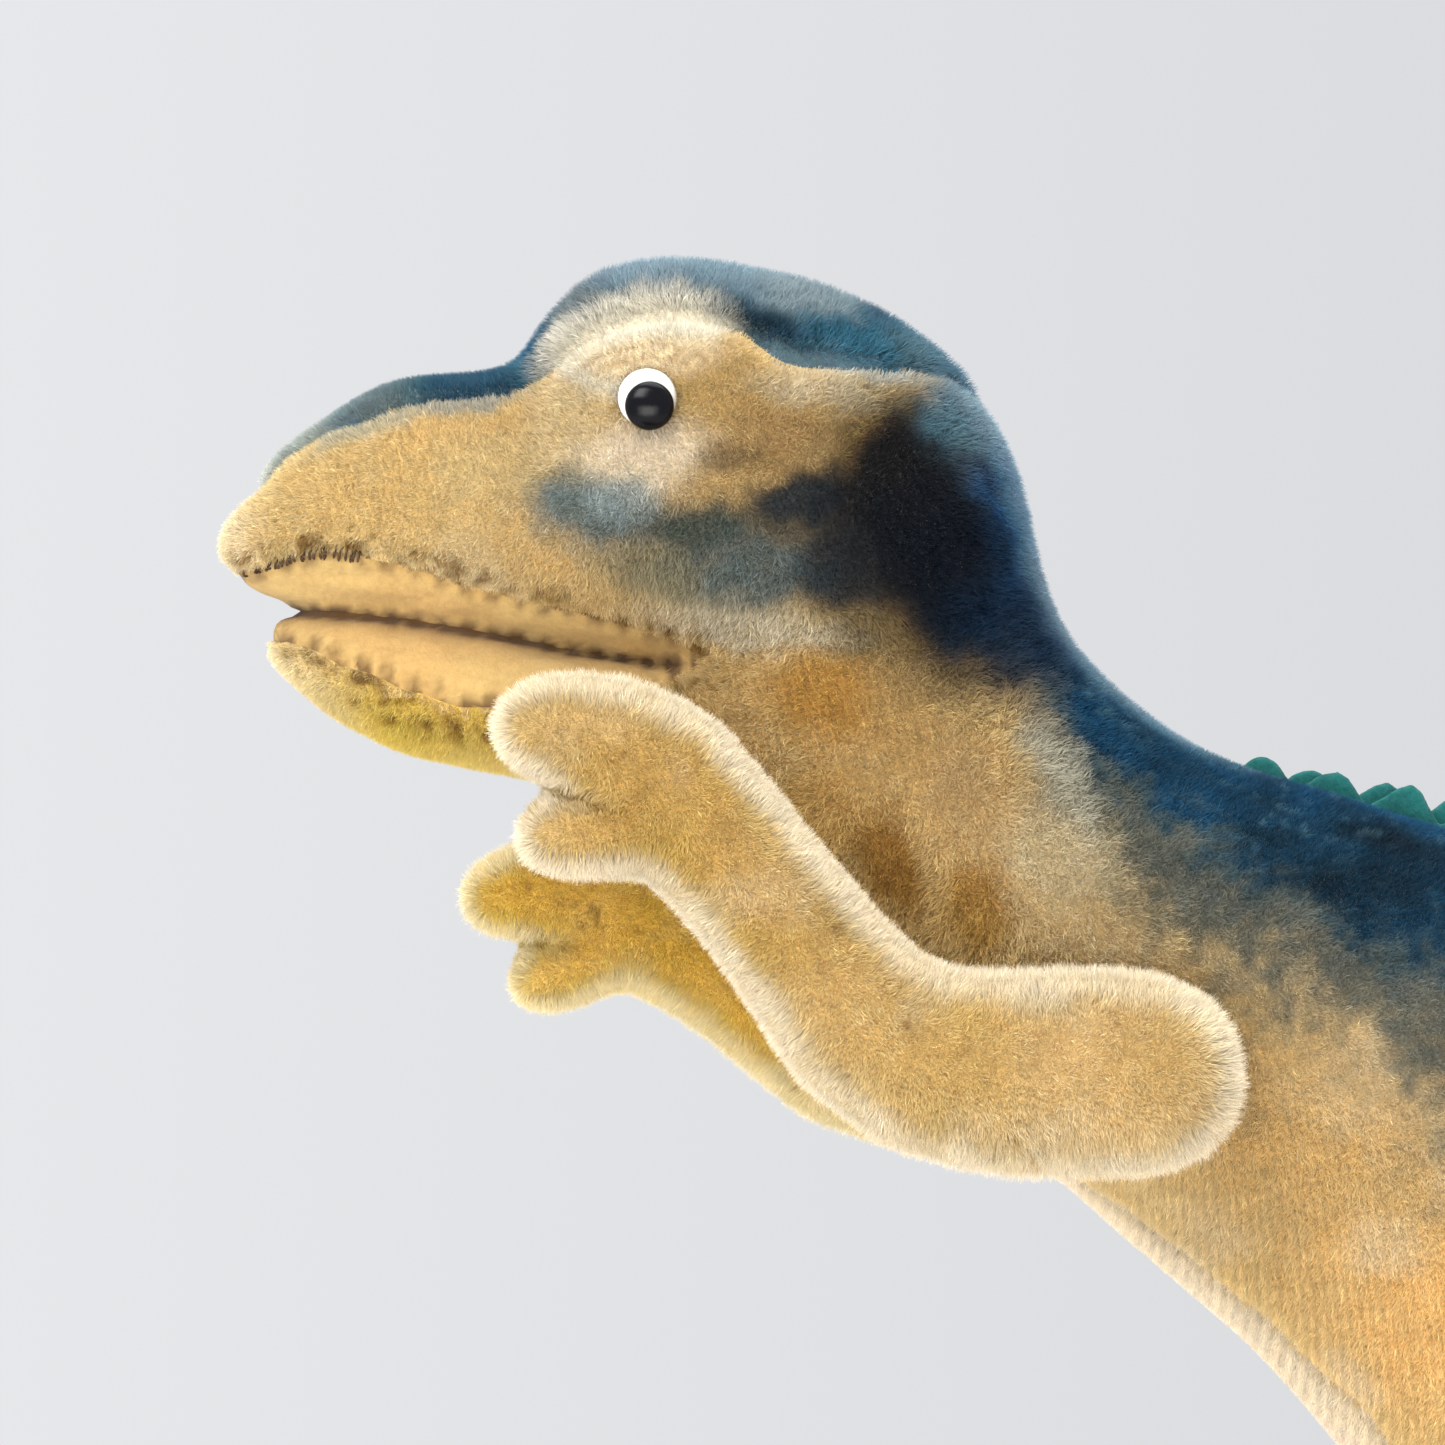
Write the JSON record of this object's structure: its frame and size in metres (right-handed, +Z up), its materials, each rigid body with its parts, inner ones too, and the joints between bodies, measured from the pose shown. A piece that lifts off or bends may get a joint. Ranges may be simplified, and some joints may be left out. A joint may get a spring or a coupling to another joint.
{
  "type": "stuffed dinosaur",
  "caption": "Standing plush dinosaur with airbrushed mohair skin, open felt mouth, button eyes, felt back comb, thick legs, long tail and disc-jointed arms.",
  "frame": {"origin": "centre of the bounding box's base, on the floor under the toy", "axes": "+Z up, the snout points to -Y and the tail to +Y, and the toy's left side is +X"},
  "size_m": [0.152, 0.52, 0.427],
  "materials": {
    "mohair_tan": "matte mohair pile",
    "mohair_blue": "matte mohair pile",
    "mohair_cream": "matte mohair pile",
    "mohair_olive": "matte mohair pile",
    "felt_peach": "matte wool felt",
    "felt_teal": "matte wool felt",
    "felt_sole": "matte wool felt",
    "wood_wool": "loose fibres",
    "card": "matte board",
    "steel": "satin",
    "thread_brown": "twisted thread",
    "thread_cream": "twisted thread",
    "eye_white": "gloss",
    "eye_black": "high gloss"
  },
  "bodies": {
    "torso": {"side_panel_left": "mohair_tan", "side_panel_right": "mohair_tan", "head_gusset": "mohair_blue", "belly_panel": "mohair_cream", "chin_panel": "mohair_olive", "palate_lining": "felt_peach", "jaw_lining": "felt_peach", "head_stuffing": "wood_wool", "body_stuffing": "wood_wool", "tail_stuffing": "wood_wool", "crest_left": "felt_teal", "crest_right": "felt_teal", "left_eye_white": "eye_white", "right_eye_white": "eye_white", "left_pupil": "eye_black", "right_pupil": "eye_black", "left_eye_shank": "steel", "right_eye_shank": "steel", "left_leg_outer": "mohair_tan", "right_leg_outer": "mohair_tan", "left_leg_inner": "mohair_tan", "right_leg_inner": "mohair_tan", "left_leg_stuffing": "wood_wool", "right_leg_stuffing": "wood_wool", "left_sole": "felt_sole", "right_sole": "felt_sole", "left_sole_card": "card", "right_sole_card": "card", "left_body_disc": "card", "right_body_disc": "card", "left_body_washer": "steel", "right_body_washer": "steel", "left_cotter_pin": "steel", "right_cotter_pin": "steel", "mouth_stitches": "thread_brown", "closing_seam_stitches": "thread_cream"},
    "left_arm": {"left_arm_outer": "mohair_tan", "left_arm_inner": "mohair_tan", "left_arm_stuffing": "wood_wool", "left_arm_disc": "card", "left_arm_washer": "steel"},
    "right_arm": {"right_arm_outer": "mohair_tan", "right_arm_inner": "mohair_tan", "right_arm_stuffing": "wood_wool", "right_arm_disc": "card", "right_arm_washer": "steel"}
  },
  "joints": [
    {"name": "left_shoulder", "type": "hinge", "parent": "torso", "child": "left_arm", "pos_m": [0.037, -0.144, 0.325], "axis": [1, 0, 0], "range_deg": [-120, 110]},
    {"name": "right_shoulder", "type": "hinge", "parent": "torso", "child": "right_arm", "pos_m": [-0.037, -0.144, 0.325], "axis": [1, 0, 0], "range_deg": [-138, 92]}
  ]
}
